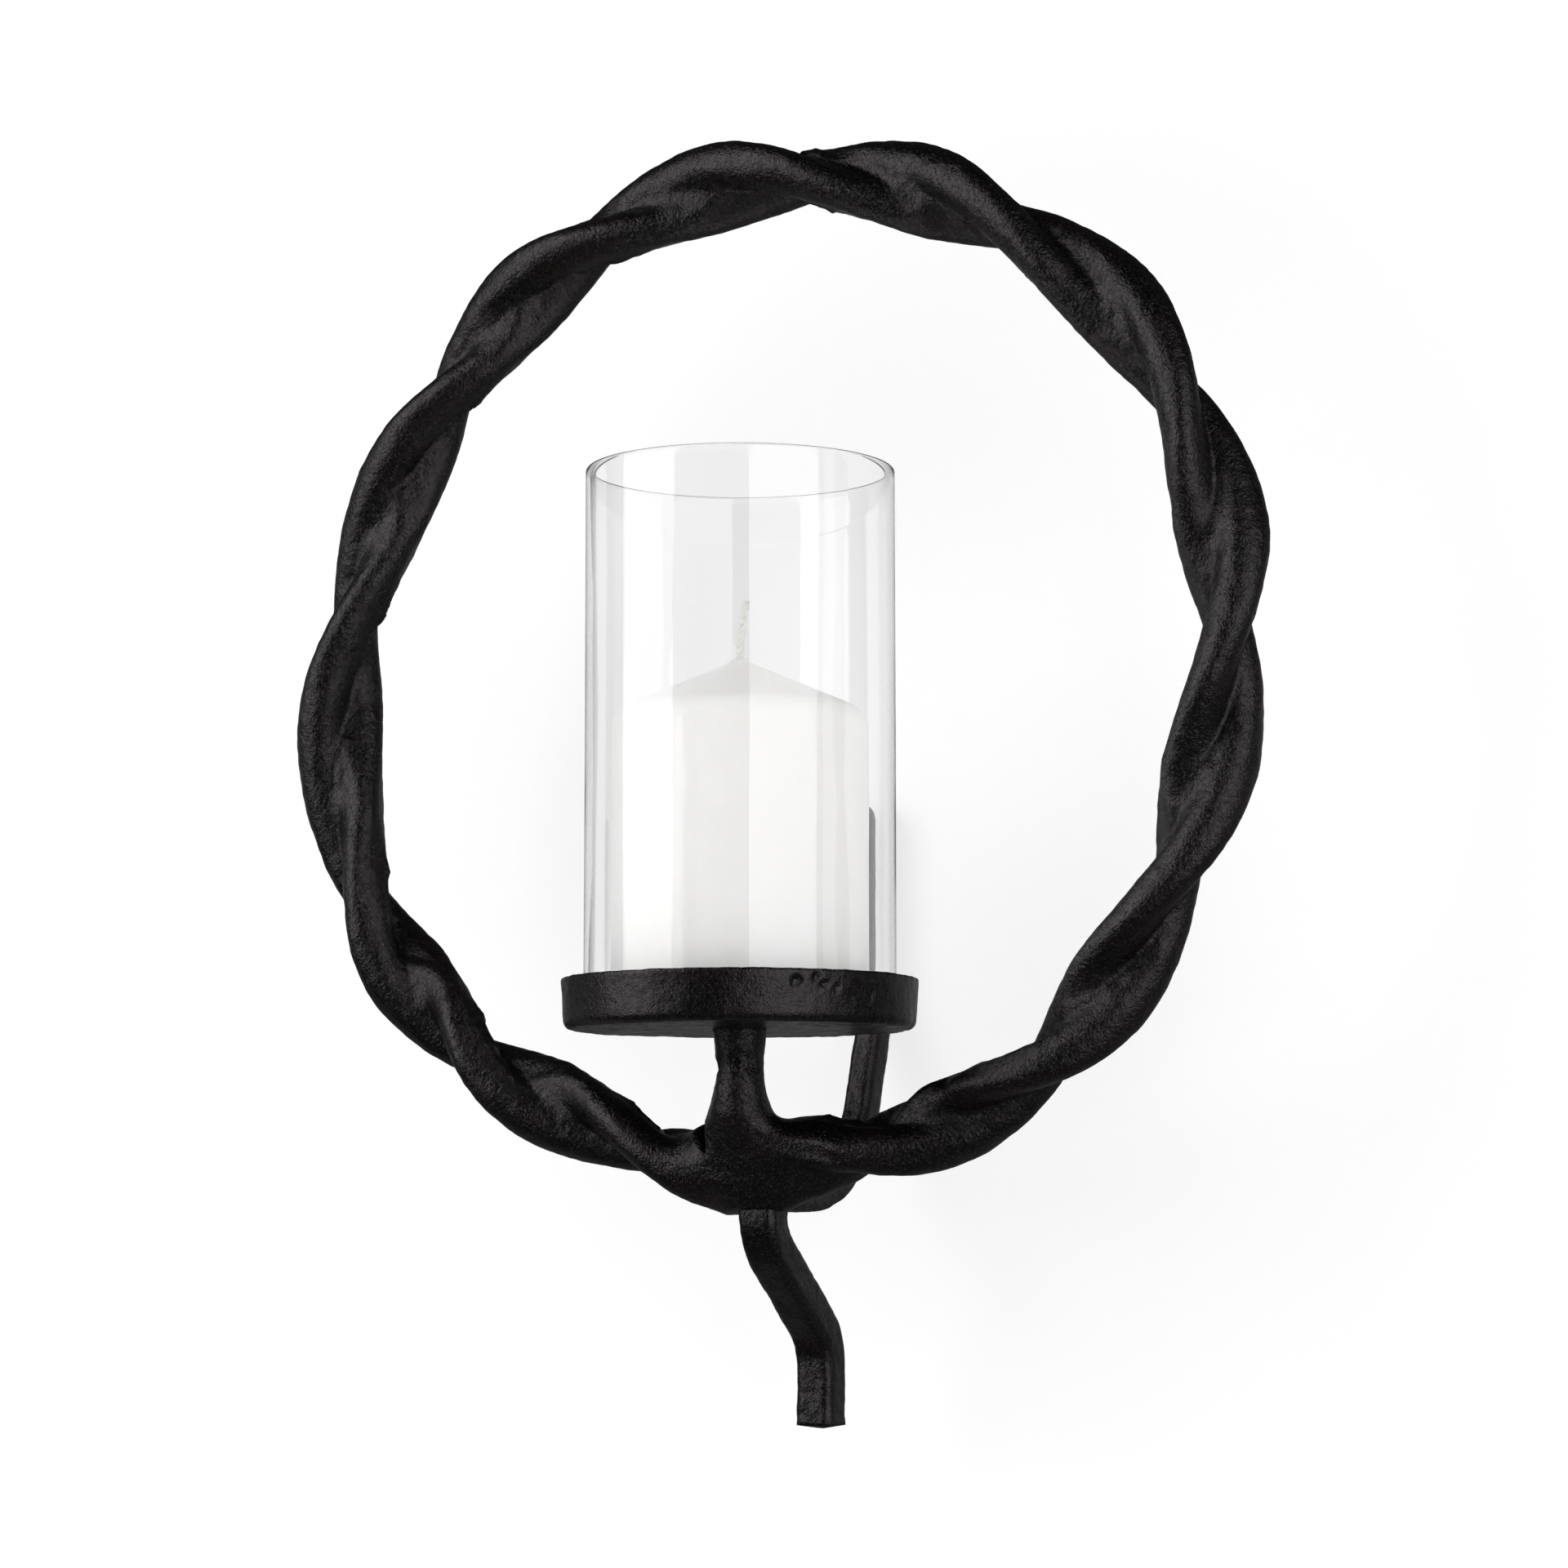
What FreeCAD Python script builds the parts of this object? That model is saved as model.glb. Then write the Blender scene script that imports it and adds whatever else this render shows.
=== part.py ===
"""Wall sconce with a twisted cast ring, a candle pan, a glass chimney and a pillar candle.

Millimetres. +Z is up and +X is to the right of somebody who faces the wall. The wall is the
plane y = 0 and the sconce stands out from it towards -Y. The origin is on the wall, midway
between the two screw holes of the wall arm.
"""
import FreeCAD, Part

import math
import os

from FreeCAD import Vector

OUT = "parts"

# ring: a circle in a plane parallel to the wall
RING_RADIUS = 150.0
RING_STANDOFF = 87.0
RING_RISE = 58.0

# the ring is not a true circle: each wave has a count round the ring, a height and the place of a crest
OUT_OF_ROUND = ((2, 2.0, 32.0), (3, 1.6, -46.0), (4, 1.8, 25.0))

# section of the ring: a ribbon with a round lobe along each edge
LOBE_MEAN = 9.15
LOBE_WIDE = 4.75
LOBE_SQUARE = -0.55

# places, counter-clockwise from +X, where the ribbon stands edge-on to the room: the twist is
# uneven, as it is in a hand-made pattern, and turns half a turn from each place to the next
EDGE_ON_DEG = (-2.0, 25.4, 57.1, 86.1, 116.9, 145.0, 176.2, 208.2, 230.5, 256.4, 281.8, 305.4, 330.7)

# knot: the swelling at the foot of the ring where stem, arm and tail come together
KNOT_DEG = 272.0
KNOT_SPREAD_DEG = 11.0
KNOT_RADIUS = 13.0

# beside the knot, to the right, the ring is drawn in towards its centre
LIFT_DEG = 286.0
LIFT_SPREAD_DEG = 14.0
LIFT = 2.8

# candle pan, on its own upright axis in front of the ring's plane
AXIS_FORWARD = 15.0
PAN_TOP_BELOW_RING = 94.0
PAN_TOP_RADIUS = 52.7
PAN_FOOT_RADIUS = 51.6
PAN_HEIGHT = 15.0
PAN_RECESS = 8.5
PAN_RIM = 5.0
PAN_FOOT_ROUND = 2.4
PAN_RIM_ROUND = 0.8

# stem under the pan: depth below the pan, half widths across X and Y, distance behind the pan's axis
STEM_SECTIONS = (
    (0.0, 8.2, 8.2, 0.0),
    (4.0, 7.4, 7.4, 0.0),
    (11.0, 6.9, 6.9, 0.0),
    (18.0, 7.2, 7.1, 0.3),
    (24.5, 9.2, 8.0, 1.8),
    (31.0, 14.0, 9.2, 5.0),
    (38.0, 18.0, 9.8, 8.5),
)

# corner radius of the square bars, the wall arm and the tail
BAR_ROUND = 3.0

# wall arm: runs back from the knot, turns up and lies flat on the wall
ARM_WIDTH = 11.0
ARM_START_BEHIND = 8.0
ARM_BELOW_RING = 156.5
ARM_FLAT_RUN = 22.0
ARM_LOW_BEND = 42.0
ARM_LOW_TURN_DEG = 72.0
ARM_SLOPE = 20.0
ARM_HIGH_BEND = 80.0
ARM_TOP_ABOVE_UPPER_HOLE = 10.0
SCREW_SPACING = 28.0
SCREW_HOLE_RADIUS = 2.25
SCREW_HEAD_RADIUS = 4.4

# tail: drops from the knot, leans back to the wall and ends upright in a square cut
TAIL_WIDTH = 12.4
TAIL_START_BELOW = 152.0
TAIL_DROP = 6.0
TAIL_TURN_DEG = 52.0
TAIL_HIGH_BEND = 16.0
TAIL_SLOPE = 32.0
TAIL_LOW_BEND = 18.0
TAIL_END_BELOW = 226.6

# glass chimney: an open tube
GLASS_RADIUS = 46.0
GLASS_WALL = 2.2
GLASS_HEIGHT = 160.0
GLASS_LIP = 0.8

# pillar candle with a pointed top
CANDLE_RADIUS = 38.1
CANDLE_SHOULDER = 88.5
CANDLE_POINT = 15.4
CANDLE_SHOULDER_ROUND = 2.5
CANDLE_FOOT_ROUND = 1.0

# wick and its foot plate
WICK_RADIUS = 1.2
WICK_FREE = 17.0
WICK_STRAIGHT = 3.0
WICK_BEND = 25.0
WICK_TURN_DEG = 10.0
WICK_GAP = 0.06
TAB_RADIUS = 9.0
TAB_THICKNESS = 0.5
TAB_NECK_RADIUS = 2.2
TAB_NECK_HEIGHT = 6.0
TAB_GAP = 0.1

RING_CENTRE = Vector(0, -RING_STANDOFF, RING_RISE)
AXIS_Y = -RING_STANDOFF - AXIS_FORWARD
PAN_TOP_Z = RING_RISE - PAN_TOP_BELOW_RING
PAN_FOOT_Z = PAN_TOP_Z - PAN_HEIGHT
PAN_FLOOR_Z = PAN_TOP_Z - PAN_RECESS
UP = Vector(0, 0, 1)


def twist_deg(angle):
    """Turn of the ring's section at this place: 90 degrees where the ribbon stands edge-on."""
    count = len(EDGE_ON_DEG)

    def place(i):
        return EDGE_ON_DEG[i % count] + 360.0 * (i // count)

    i = 0
    while place(i + 1) <= angle:
        i += 1
    start, end = place(i), place(i + 1)
    slope_in = 2.0 / (end - place(i - 1))
    slope_out = 2.0 / (place(i + 2) - start)
    width = end - start
    t = (angle - start) / width
    turns = (
        slope_in * width * (t**3 - 2 * t**2 + t)
        + (3 * t**2 - 2 * t**3)
        + slope_out * width * (t**3 - t**2)
    )
    return 90.0 - 180.0 * (i + turns)


def swell(angle, middle, spread):
    """1 in the middle of a stretch of the ring, falling smoothly to 0 on both sides."""
    return math.exp(-(((angle - middle) / spread) ** 2))


def centre_radius(angle):
    """Distance from the ring's centre to the centre line of its section."""
    waves = sum(
        height * math.cos(count * math.radians(angle - crest)) for count, height, crest in OUT_OF_ROUND
    )
    return RING_RADIUS + waves - LIFT * swell(angle, LIFT_DEG, LIFT_SPREAD_DEG)


def section_radius(around, angle):
    """Distance from the section's centre line to its surface, in direction `around`."""
    turn = math.radians(around - twist_deg(angle))
    lobed = LOBE_MEAN + LOBE_WIDE * math.cos(2 * turn) + LOBE_SQUARE * math.cos(4 * turn)
    return lobed + (KNOT_RADIUS - lobed) * swell(angle, KNOT_DEG, KNOT_SPREAD_DEG)


def ring_point(angle, around):
    """Point of the ring's surface: `angle` runs round the ring, `around` round its section."""
    radius = section_radius(around, angle)
    reach = centre_radius(angle) + radius * math.cos(math.radians(around))
    out = Vector(math.cos(math.radians(angle)), 0, math.sin(math.radians(angle)))
    forward = Vector(0, -radius * math.sin(math.radians(around)), 0)
    return RING_CENTRE + out * reach + forward


def twisted_ring():
    """The whole ring as one closed surface, sewn from patches of the same smooth surface."""
    rows, columns = 182, 24
    spans, halves = 14, 2
    poles = [
        [ring_point(360.0 * i / rows, 360.0 * j / columns) for j in range(columns)]
        for i in range(rows)
    ]
    surface = Part.BSplineSurface()
    surface.buildFromPolesMultsKnots(
        poles, [1] * (rows + 1), [1] * (columns + 1),
        list(range(rows + 1)), list(range(columns + 1)), True, True, 3, 3,
    )
    long, wide = rows / spans, columns / halves
    patches = [
        surface.toShape(long * i, long * (i + 1), wide * j, wide * (j + 1))
        for i in range(spans)
        for j in range(halves)
    ]
    shell = Part.makeShell(patches)
    shell.sewShape()
    solid = Part.makeSolid(shell)
    return solid if solid.Volume > 0 else solid.reversed()


def ellipse_wire(half_x, half_y, y, z):
    """Level ellipse round (0, y, z)."""
    centre = Vector(0, y, z)
    if half_x > half_y:
        curve = Part.Ellipse(centre + Vector(half_x, 0, 0), centre + Vector(0, half_y, 0), centre)
    else:
        curve = Part.Circle(centre, UP, half_x)
    return Part.Wire([curve.toShape()])


def pan_stem():
    wires = [
        ellipse_wire(half_x, half_y, AXIS_Y + behind, PAN_FOOT_Z - depth)
        for depth, half_x, half_y, behind in STEM_SECTIONS
    ]
    return Part.makeLoft(wires, True, False)


def turned(outline, y):
    """Solid of revolution about the upright line x = 0 at y, from (radius, z) corners."""
    points = [Vector(radius, y, z) for radius, z in outline]
    face = Part.Face(Part.makePolygon(points + points[:1]))
    return face.revolve(Vector(0, y, 0), UP, 360)


def edges_at(solid, radius, z):
    """Circular edges of this radius at this height."""
    return [
        edge for edge in solid.Edges
        if isinstance(edge.Curve, Part.Circle)
        and abs(edge.Curve.Radius - radius) < 1e-6
        and abs(edge.Curve.Center.z - z) < 1e-6
    ]


def candle_pan():
    inside = PAN_TOP_RADIUS - PAN_RIM
    pan = turned(
        [
            (0, PAN_FOOT_Z), (PAN_FOOT_RADIUS, PAN_FOOT_Z), (PAN_TOP_RADIUS, PAN_TOP_Z),
            (inside, PAN_TOP_Z), (inside, PAN_FLOOR_Z), (0, PAN_FLOOR_Z),
        ],
        AXIS_Y,
    )
    pan = pan.makeFillet(PAN_FOOT_ROUND, edges_at(pan, PAN_FOOT_RADIUS, PAN_FOOT_Z))
    rims = edges_at(pan, PAN_TOP_RADIUS, PAN_TOP_Z) + edges_at(pan, inside, PAN_TOP_Z)
    return pan.makeFillet(PAN_RIM_ROUND, rims)


def bar_face(width, y, z, normal):
    """Rounded square across the y-z plane at (y, z), facing along `normal`."""
    half, corner = width / 2, BAR_ROUND
    flat = half - corner
    mid = corner * math.sqrt(0.5)
    edges = []
    for k in range(4):
        quarter = FreeCAD.Rotation(UP, 90 * k)
        start, end = Vector(half, -flat, 0), Vector(half, flat, 0)
        crown, after = Vector(flat + mid, flat + mid, 0), Vector(flat, half, 0)
        start, end, crown, after = [quarter.multVec(p) for p in (start, end, crown, after)]
        edges.append(Part.LineSegment(start, end).toShape())
        edges.append(Part.Arc(end, crown, after).toShape())
    face = Part.Face(Part.Wire(edges))
    tilt = math.degrees(math.atan2(-normal.y, normal.z))
    face.Placement = FreeCAD.Placement(Vector(0, y, z), FreeCAD.Rotation(Vector(1, 0, 0), tilt))
    return face


def bar(width, y, z, heading_deg, steps):
    """Bar in the plane x = 0. heading 0 runs to +Y, 90 runs to +Z. Steps: ("run", length) or
    ("bend", radius, turn), with the turn positive from +Y towards +Z."""
    pieces = []
    for step in steps:
        heading = math.radians(heading_deg)
        ahead = Vector(0, math.cos(heading), math.sin(heading))
        face = bar_face(width, y, z, ahead)
        if step[0] == "run":
            pieces.append(face.extrude(ahead * step[1]))
            y, z = y + ahead.y * step[1], z + ahead.z * step[1]
            continue
        radius, turn = step[1], step[2]
        side = 1.0 if turn > 0 else -1.0
        centre = Vector(0, y - side * radius * ahead.z, z + side * radius * ahead.y)
        pieces.append(face.revolve(centre, Vector(1, 0, 0), turn))
        heading_deg += turn
        heading = math.radians(heading_deg)
        y = centre.y + side * radius * math.sin(heading)
        z = centre.z - side * radius * math.cos(heading)
    return pieces[0].multiFuse(pieces[1:]).removeSplitter(), Vector(0, y, z)


def wall_arm():
    """J-shaped bar, flat against the wall, with two countersunk screw holes."""
    start_y = -RING_STANDOFF + ARM_START_BEHIND
    start_z = RING_RISE - ARM_BELOW_RING
    high_turn = 90.0 - ARM_LOW_TURN_DEG
    steps = [
        ("run", ARM_FLAT_RUN),
        ("bend", ARM_LOW_BEND, ARM_LOW_TURN_DEG),
        ("run", ARM_SLOPE),
        ("bend", ARM_HIGH_BEND, high_turn),
    ]
    end = bar(ARM_WIDTH, start_y, start_z, 0.0, steps)[1]
    top_z = SCREW_SPACING / 2 + ARM_TOP_ABOVE_UPPER_HOLE
    back_y = -ARM_WIDTH / 2
    steps[2] = ("run", ARM_SLOPE + (back_y - end.y) / math.cos(math.radians(ARM_LOW_TURN_DEG)))
    end = bar(ARM_WIDTH, start_y, start_z, 0.0, steps)[1]
    solid = bar(ARM_WIDTH, start_y, start_z, 0.0, steps + [("run", top_z - end.z)])[0]

    # the head is rounded off to half a circle
    head_z = top_z - ARM_WIDTH / 2
    corner = Vector(-ARM_WIDTH / 2, -ARM_WIDTH, head_z)
    block = Part.makeBox(ARM_WIDTH, ARM_WIDTH, ARM_WIDTH / 2, corner)
    crown = Part.makeCylinder(ARM_WIDTH / 2, ARM_WIDTH, Vector(0, 0, head_z), Vector(0, -1, 0))
    solid = solid.cut(block.cut(crown))

    front_y = -ARM_WIDTH
    depth = SCREW_HEAD_RADIUS - SCREW_HOLE_RADIUS
    for side in (-1, 1):
        z = side * SCREW_SPACING / 2
        hole = Part.makeCylinder(SCREW_HOLE_RADIUS, ARM_WIDTH + 2, Vector(0, 1, z), Vector(0, -1, 0))
        sink = Part.makeCone(
            SCREW_HEAD_RADIUS, SCREW_HOLE_RADIUS, depth, Vector(0, front_y, z), Vector(0, 1, 0)
        )
        solid = solid.cut(hole).cut(sink)
    return solid


def lower_tail():
    """Bar below the knot: down, back towards the wall, and down again to a square end."""
    steps = [
        ("run", TAIL_DROP),
        ("bend", TAIL_HIGH_BEND, TAIL_TURN_DEG),
        ("run", TAIL_SLOPE),
        ("bend", TAIL_LOW_BEND, -TAIL_TURN_DEG),
    ]
    start_y, start_z = -RING_STANDOFF, RING_RISE - TAIL_START_BELOW
    end = bar(TAIL_WIDTH, start_y, start_z, -90.0, steps)[1]
    last = end.z - (RING_RISE - TAIL_END_BELOW)
    return bar(TAIL_WIDTH, start_y, start_z, -90.0, steps + [("run", last)])[0]


def glass_chimney():
    foot = Vector(0, AXIS_Y, PAN_FLOOR_Z)
    inner = GLASS_RADIUS - GLASS_WALL
    tube = Part.makeCylinder(GLASS_RADIUS, GLASS_HEIGHT, foot)
    tube = tube.cut(Part.makeCylinder(inner, GLASS_HEIGHT, foot))
    top = PAN_FLOOR_Z + GLASS_HEIGHT
    lips = [edge for r in (inner, GLASS_RADIUS) for edge in edges_at(tube, r, top)]
    return tube.makeFillet(GLASS_LIP, lips)


def candle_wax():
    """Pillar with a pointed top, bored for the wick and pocketed for the wick's foot plate."""
    shoulder = PAN_FLOOR_Z + CANDLE_SHOULDER
    point = shoulder + CANDLE_POINT
    wax = turned(
        [(0, PAN_FLOOR_Z), (CANDLE_RADIUS, PAN_FLOOR_Z), (CANDLE_RADIUS, shoulder), (0, point)],
        AXIS_Y,
    )
    wax = wax.makeFillet(CANDLE_SHOULDER_ROUND, edges_at(wax, CANDLE_RADIUS, shoulder))
    wax = wax.makeFillet(CANDLE_FOOT_ROUND, edges_at(wax, CANDLE_RADIUS, PAN_FLOOR_Z))
    foot = Vector(0, AXIS_Y, PAN_FLOOR_Z)
    bore = Part.makeCylinder(WICK_RADIUS + WICK_GAP, CANDLE_SHOULDER + CANDLE_POINT, foot)
    plate = Part.makeCylinder(TAB_RADIUS + TAB_GAP, TAB_THICKNESS + TAB_GAP, foot)
    neck = Part.makeCylinder(TAB_NECK_RADIUS + TAB_GAP, TAB_NECK_HEIGHT + TAB_GAP, foot)
    return wax.cut(bore.fuse(plate).fuse(neck))


def candle_wick():
    """Straight up the candle's bore, then leaning to the right above the wax."""
    foot = Vector(0, AXIS_Y, PAN_FLOOR_Z + TAB_THICKNESS)
    bend_z = PAN_FLOOR_Z + CANDLE_SHOULDER + CANDLE_POINT + WICK_STRAIGHT
    upright = Part.makeCylinder(WICK_RADIUS, bend_z - foot.z, foot)
    top = Part.Face(Part.Wire([Part.Circle(Vector(0, AXIS_Y, bend_z), UP, WICK_RADIUS).toShape()]))
    centre = Vector(WICK_BEND, AXIS_Y, bend_z)
    curve = top.revolve(centre, Vector(0, 1, 0), WICK_TURN_DEG)
    turn = math.radians(WICK_TURN_DEG)
    ahead = Vector(math.sin(turn), 0, math.cos(turn))
    last = WICK_FREE - WICK_STRAIGHT - WICK_BEND * turn
    start = centre + Vector(-WICK_BEND * math.cos(turn), 0, WICK_BEND * math.sin(turn))
    return upright.fuse(curve).fuse(Part.makeCylinder(WICK_RADIUS, last, start, ahead))


def wick_sustainer():
    """Thin foot plate with a neck that grips the wick."""
    foot = Vector(0, AXIS_Y, PAN_FLOOR_Z)
    plate = Part.makeCylinder(TAB_RADIUS, TAB_THICKNESS, foot)
    neck = Part.makeCylinder(TAB_NECK_RADIUS, TAB_NECK_HEIGHT, foot)
    bore = Part.makeCylinder(
        WICK_RADIUS + WICK_GAP, TAB_NECK_HEIGHT, foot + Vector(0, 0, TAB_THICKNESS)
    )
    return plate.fuse(neck).cut(bore)


NODES = {
    "twisted_ring": twisted_ring,
    "pan_stem": pan_stem,
    "candle_pan": candle_pan,
    "wall_arm": wall_arm,
    "lower_tail": lower_tail,
    "glass_chimney": glass_chimney,
    "candle_wax": candle_wax,
    "candle_wick": candle_wick,
    "wick_sustainer": wick_sustainer,
}


def main():
    os.makedirs(OUT, exist_ok=True)
    for name, make in NODES.items():
        shape = make()
        box = shape.optimalBoundingBox(False)
        print(
            f"{name}: valid {shape.isValid()}, solids {len(shape.Solids)}, {shape.Volume / 1000:.2f} cm3,"
            f" x {box.XMin:.1f} {box.XMax:.1f}, y {box.YMin:.1f} {box.YMax:.1f}, z {box.ZMin:.1f} {box.ZMax:.1f}"
        )
        shape.exportStep(f"{OUT}/{name}.step")


main()
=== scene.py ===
import itertools
import math

import bmesh
import bpy
import numpy as np
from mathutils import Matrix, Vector


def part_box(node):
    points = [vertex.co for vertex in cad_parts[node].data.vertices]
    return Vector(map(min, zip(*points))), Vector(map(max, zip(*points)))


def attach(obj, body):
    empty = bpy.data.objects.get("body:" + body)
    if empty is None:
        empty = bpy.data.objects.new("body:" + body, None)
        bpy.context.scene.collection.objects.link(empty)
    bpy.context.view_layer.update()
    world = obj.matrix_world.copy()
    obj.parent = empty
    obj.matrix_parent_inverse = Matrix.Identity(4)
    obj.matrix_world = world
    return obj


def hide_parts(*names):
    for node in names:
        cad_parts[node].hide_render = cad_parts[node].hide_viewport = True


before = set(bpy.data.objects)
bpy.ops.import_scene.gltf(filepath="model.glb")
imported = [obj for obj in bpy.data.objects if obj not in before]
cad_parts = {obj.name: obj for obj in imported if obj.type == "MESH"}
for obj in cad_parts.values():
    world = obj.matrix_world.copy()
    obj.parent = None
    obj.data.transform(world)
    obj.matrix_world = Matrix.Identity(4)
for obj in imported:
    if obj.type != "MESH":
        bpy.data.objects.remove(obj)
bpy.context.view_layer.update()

# Metres. +Z is up, the wall is the plane y = 0, and the sconce stands out from it towards -Y.

# ---------------------------------------------------------------- sizes shared with the CAD parts
RING_RADIUS = 0.150
RING_STANDOFF = 0.087
RING_RISE = 0.058
OUT_OF_ROUND = ((2, 0.0020, 32.0), (3, 0.0016, -46.0), (4, 0.0018, 25.0))
EDGE_ON_DEG = (
    -2.0, 25.4, 57.1, 86.1, 116.9, 145.0, 176.2, 208.2, 230.5, 256.4, 281.8, 305.4, 330.7,
)
LOBE_MEAN = 0.00915
LOBE_WIDE = 0.00475
LOBE_SQUARE = -0.00055
KNOT_DEG = 272.0
LIFT_DEG = 286.0
LIFT_SPREAD_DEG = 14.0
LIFT = 0.0028
AXIS_Y = -0.102

pan_low, pan_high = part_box("candle_pan")
PAN_FOOT_Z = pan_low[2]
PAN_TOP_Z = pan_high[2]
glass_low, glass_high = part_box("glass_chimney")
PAN_FLOOR_Z = glass_low[2]
GLASS_TOP_Z = glass_high[2]
GLASS_RADIUS = glass_high[0]
wax_low, wax_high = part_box("candle_wax")
CANDLE_RADIUS = wax_high[0]
arm_low, arm_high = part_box("wall_arm")
tail_low, tail_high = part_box("lower_tail")


# ---------------------------------------------------------------- small tools
def noise(points, size, seed):
    """Smooth noise, about -1 to 1, with bumps about `size` across, at an (n, 3) array of points."""
    cells = points / size
    corner = np.floor(cells).astype(np.int64)
    inside = cells - corner
    ease = inside**3 * (inside * (inside * 6 - 15) + 10)
    total = np.zeros(len(points))
    for offset in itertools.product((0, 1), repeat=3):
        step = np.array(offset)
        key = (corner + step) @ np.array([73856093, 19349663, 83492791]) + seed * 7919
        weight = np.prod(np.where(step, ease, 1 - ease), axis=1)
        slope = np.zeros(len(points))
        for axis in range(3):
            mixed = (key + axis * 6151) & 0xFFFFFF
            mixed = (mixed ^ (mixed >> 7)) * 40503 & 0xFFFFFF
            mixed = (mixed ^ (mixed >> 11)) * 25931 & 0xFFFFFF
            pull = mixed / 0x7FFFFF - 1.0
            slope += pull * (inside[:, axis] - step[axis])
        total += weight * slope
    return total * 1.6


def layered(points, size, seed, layers=3):
    """Noise with finer noise on top of it."""
    return sum(noise(points, size / 2**k, seed + 31 * k) / 2**k for k in range(layers))


def bump_at(distance, width):
    """1 at distance 0, falling smoothly to 0."""
    return np.exp(-((distance / width) ** 2))


def ramp(value, low, high):
    """0 below low, 1 above high, smooth between."""
    t = np.clip((value - low) / (high - low), 0, 1)
    return t * t * (3 - 2 * t)


def make_object(name, points, faces, material):
    mesh = bpy.data.meshes.new(name)
    mesh.from_pydata([tuple(p) for p in points], [], [tuple(f) for f in faces])
    mesh.materials.append(material)
    mesh.polygons.foreach_set("use_smooth", [True] * len(mesh.polygons))
    mesh.update()
    piece = bpy.data.objects.new(name, mesh)
    bpy.context.scene.collection.objects.link(piece)
    return piece


def mesh_points(piece):
    points = np.empty(len(piece.data.vertices) * 3)
    piece.data.vertices.foreach_get("co", points)
    return points.reshape(-1, 3)


def set_points(piece, points):
    piece.data.vertices.foreach_set("co", points.ravel())
    piece.data.update()


def store(piece, name, values):
    """Keeps a number per vertex on the mesh, for the material to read."""
    layer = piece.data.attributes.new(name, "FLOAT", "POINT")
    layer.data.foreach_set("value", np.ascontiguousarray(values, dtype=np.float32))


def neighbour_mean(points, edges):
    """Mean of each vertex's neighbours."""
    a, b = edges[:, 0], edges[:, 1]
    count = len(points)
    degree = np.bincount(a, minlength=count) + np.bincount(b, minlength=count)
    total = np.stack(
        [
            np.bincount(a, points[b, k], count) + np.bincount(b, points[a, k], count)
            for k in range(3)
        ],
        axis=1,
    )
    return total / degree[:, None]


def mesh_edges(piece):
    edges = np.empty(len(piece.data.edges) * 2, dtype=np.int64)
    piece.data.edges.foreach_get("vertices", edges)
    return edges.reshape(-1, 2)


def mesh_normals(piece):
    normals = np.empty(len(piece.data.vertices) * 3)
    piece.data.vertices.foreach_get("normal", normals)
    return normals.reshape(-1, 3)


def rounded_line(corners, spacing):
    """Evenly dense points along straight runs joined by arcs. A corner is (x, y, radius)."""
    runs = []
    for i, (x, y, radius) in enumerate(corners):
        here = np.array((x, y))
        if radius == 0 or i in (0, len(corners) - 1):
            runs.append(here[None])
            continue
        back = np.array(corners[i - 1][:2]) - here
        ahead = np.array(corners[i + 1][:2]) - here
        back, ahead = back / np.linalg.norm(back), ahead / np.linalg.norm(ahead)
        half = math.acos(np.clip(back @ ahead, -1, 1)) / 2
        middle = here + (back + ahead) / np.linalg.norm(back + ahead) * radius / math.sin(half)
        start = here + back * radius / math.tan(half) - middle
        end = here + ahead * radius / math.tan(half) - middle
        sweep = math.pi - 2 * half
        count = max(4, int(radius * sweep / spacing) + 2)
        share = np.linspace(0, 1, count)[:, None]
        arc = (np.sin((1 - share) * sweep) * start + np.sin(share * sweep) * end) / math.sin(sweep)
        runs.append(middle + arc)
    bends = np.vstack(runs)
    dense = [bends[:1]]
    for a, b in zip(bends[:-1], bends[1:]):
        count = max(1, int(math.ceil(np.linalg.norm(b - a) / spacing - 0.01)))
        dense.append(a + (b - a) * (np.arange(1, count + 1) / count)[:, None])
    return np.vstack(dense)


def tube_faces(rows, columns, joined=False):
    """Quads of a tube of rows that close round. Its ends are open, or joined to each other."""
    faces = []
    for i in range(rows if joined else rows - 1):
        near, far = i * columns, (i + 1) % rows * columns
        for j in range(columns):
            k = (j + 1) % columns
            faces.append((near + j, near + k, far + k, far + j))
    return faces


def end_fans(columns, last, first_pole, last_pole):
    """Triangles from a tube's first and last rows to a point in the middle of each."""
    fans = [(first_pole, (j + 1) % columns, j) for j in range(columns)]
    return fans + [(last_pole, last + j, last + (j + 1) % columns) for j in range(columns)]


def turned(outline, columns):
    """Surface of revolution about the candle's axis. An end of the outline at radius 0 is a pole;
    an outline that ends where it starts gives a closed ring."""
    turn = np.arange(columns) * 2 * math.pi / columns
    closed = np.allclose(outline[0], outline[-1])
    body = outline[:-1] if closed else outline[1:-1]
    radius, height = body[:, 0][:, None], body[:, 1][:, None]
    points = np.stack(
        [radius * np.cos(turn), AXIS_Y + radius * np.sin(turn), height + 0 * turn], axis=-1
    ).reshape(-1, 3)
    rows, count = len(body), len(points)
    faces = tube_faces(rows, columns, joined=closed)
    if closed:
        return points, faces
    points = np.vstack([points, (0, AXIS_Y, outline[0][1]), (0, AXIS_Y, outline[-1][1])])
    return points, faces + end_fans(columns, (rows - 1) * columns, count, count + 1)


def facing_out(piece):
    """Turns the mesh's faces so that their normals point out of the solid."""
    made = bmesh.new()
    made.from_mesh(piece.data)
    bmesh.ops.recalc_face_normals(made, faces=made.faces)
    made.to_mesh(piece.data)
    made.free()
    piece.data.update()


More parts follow.
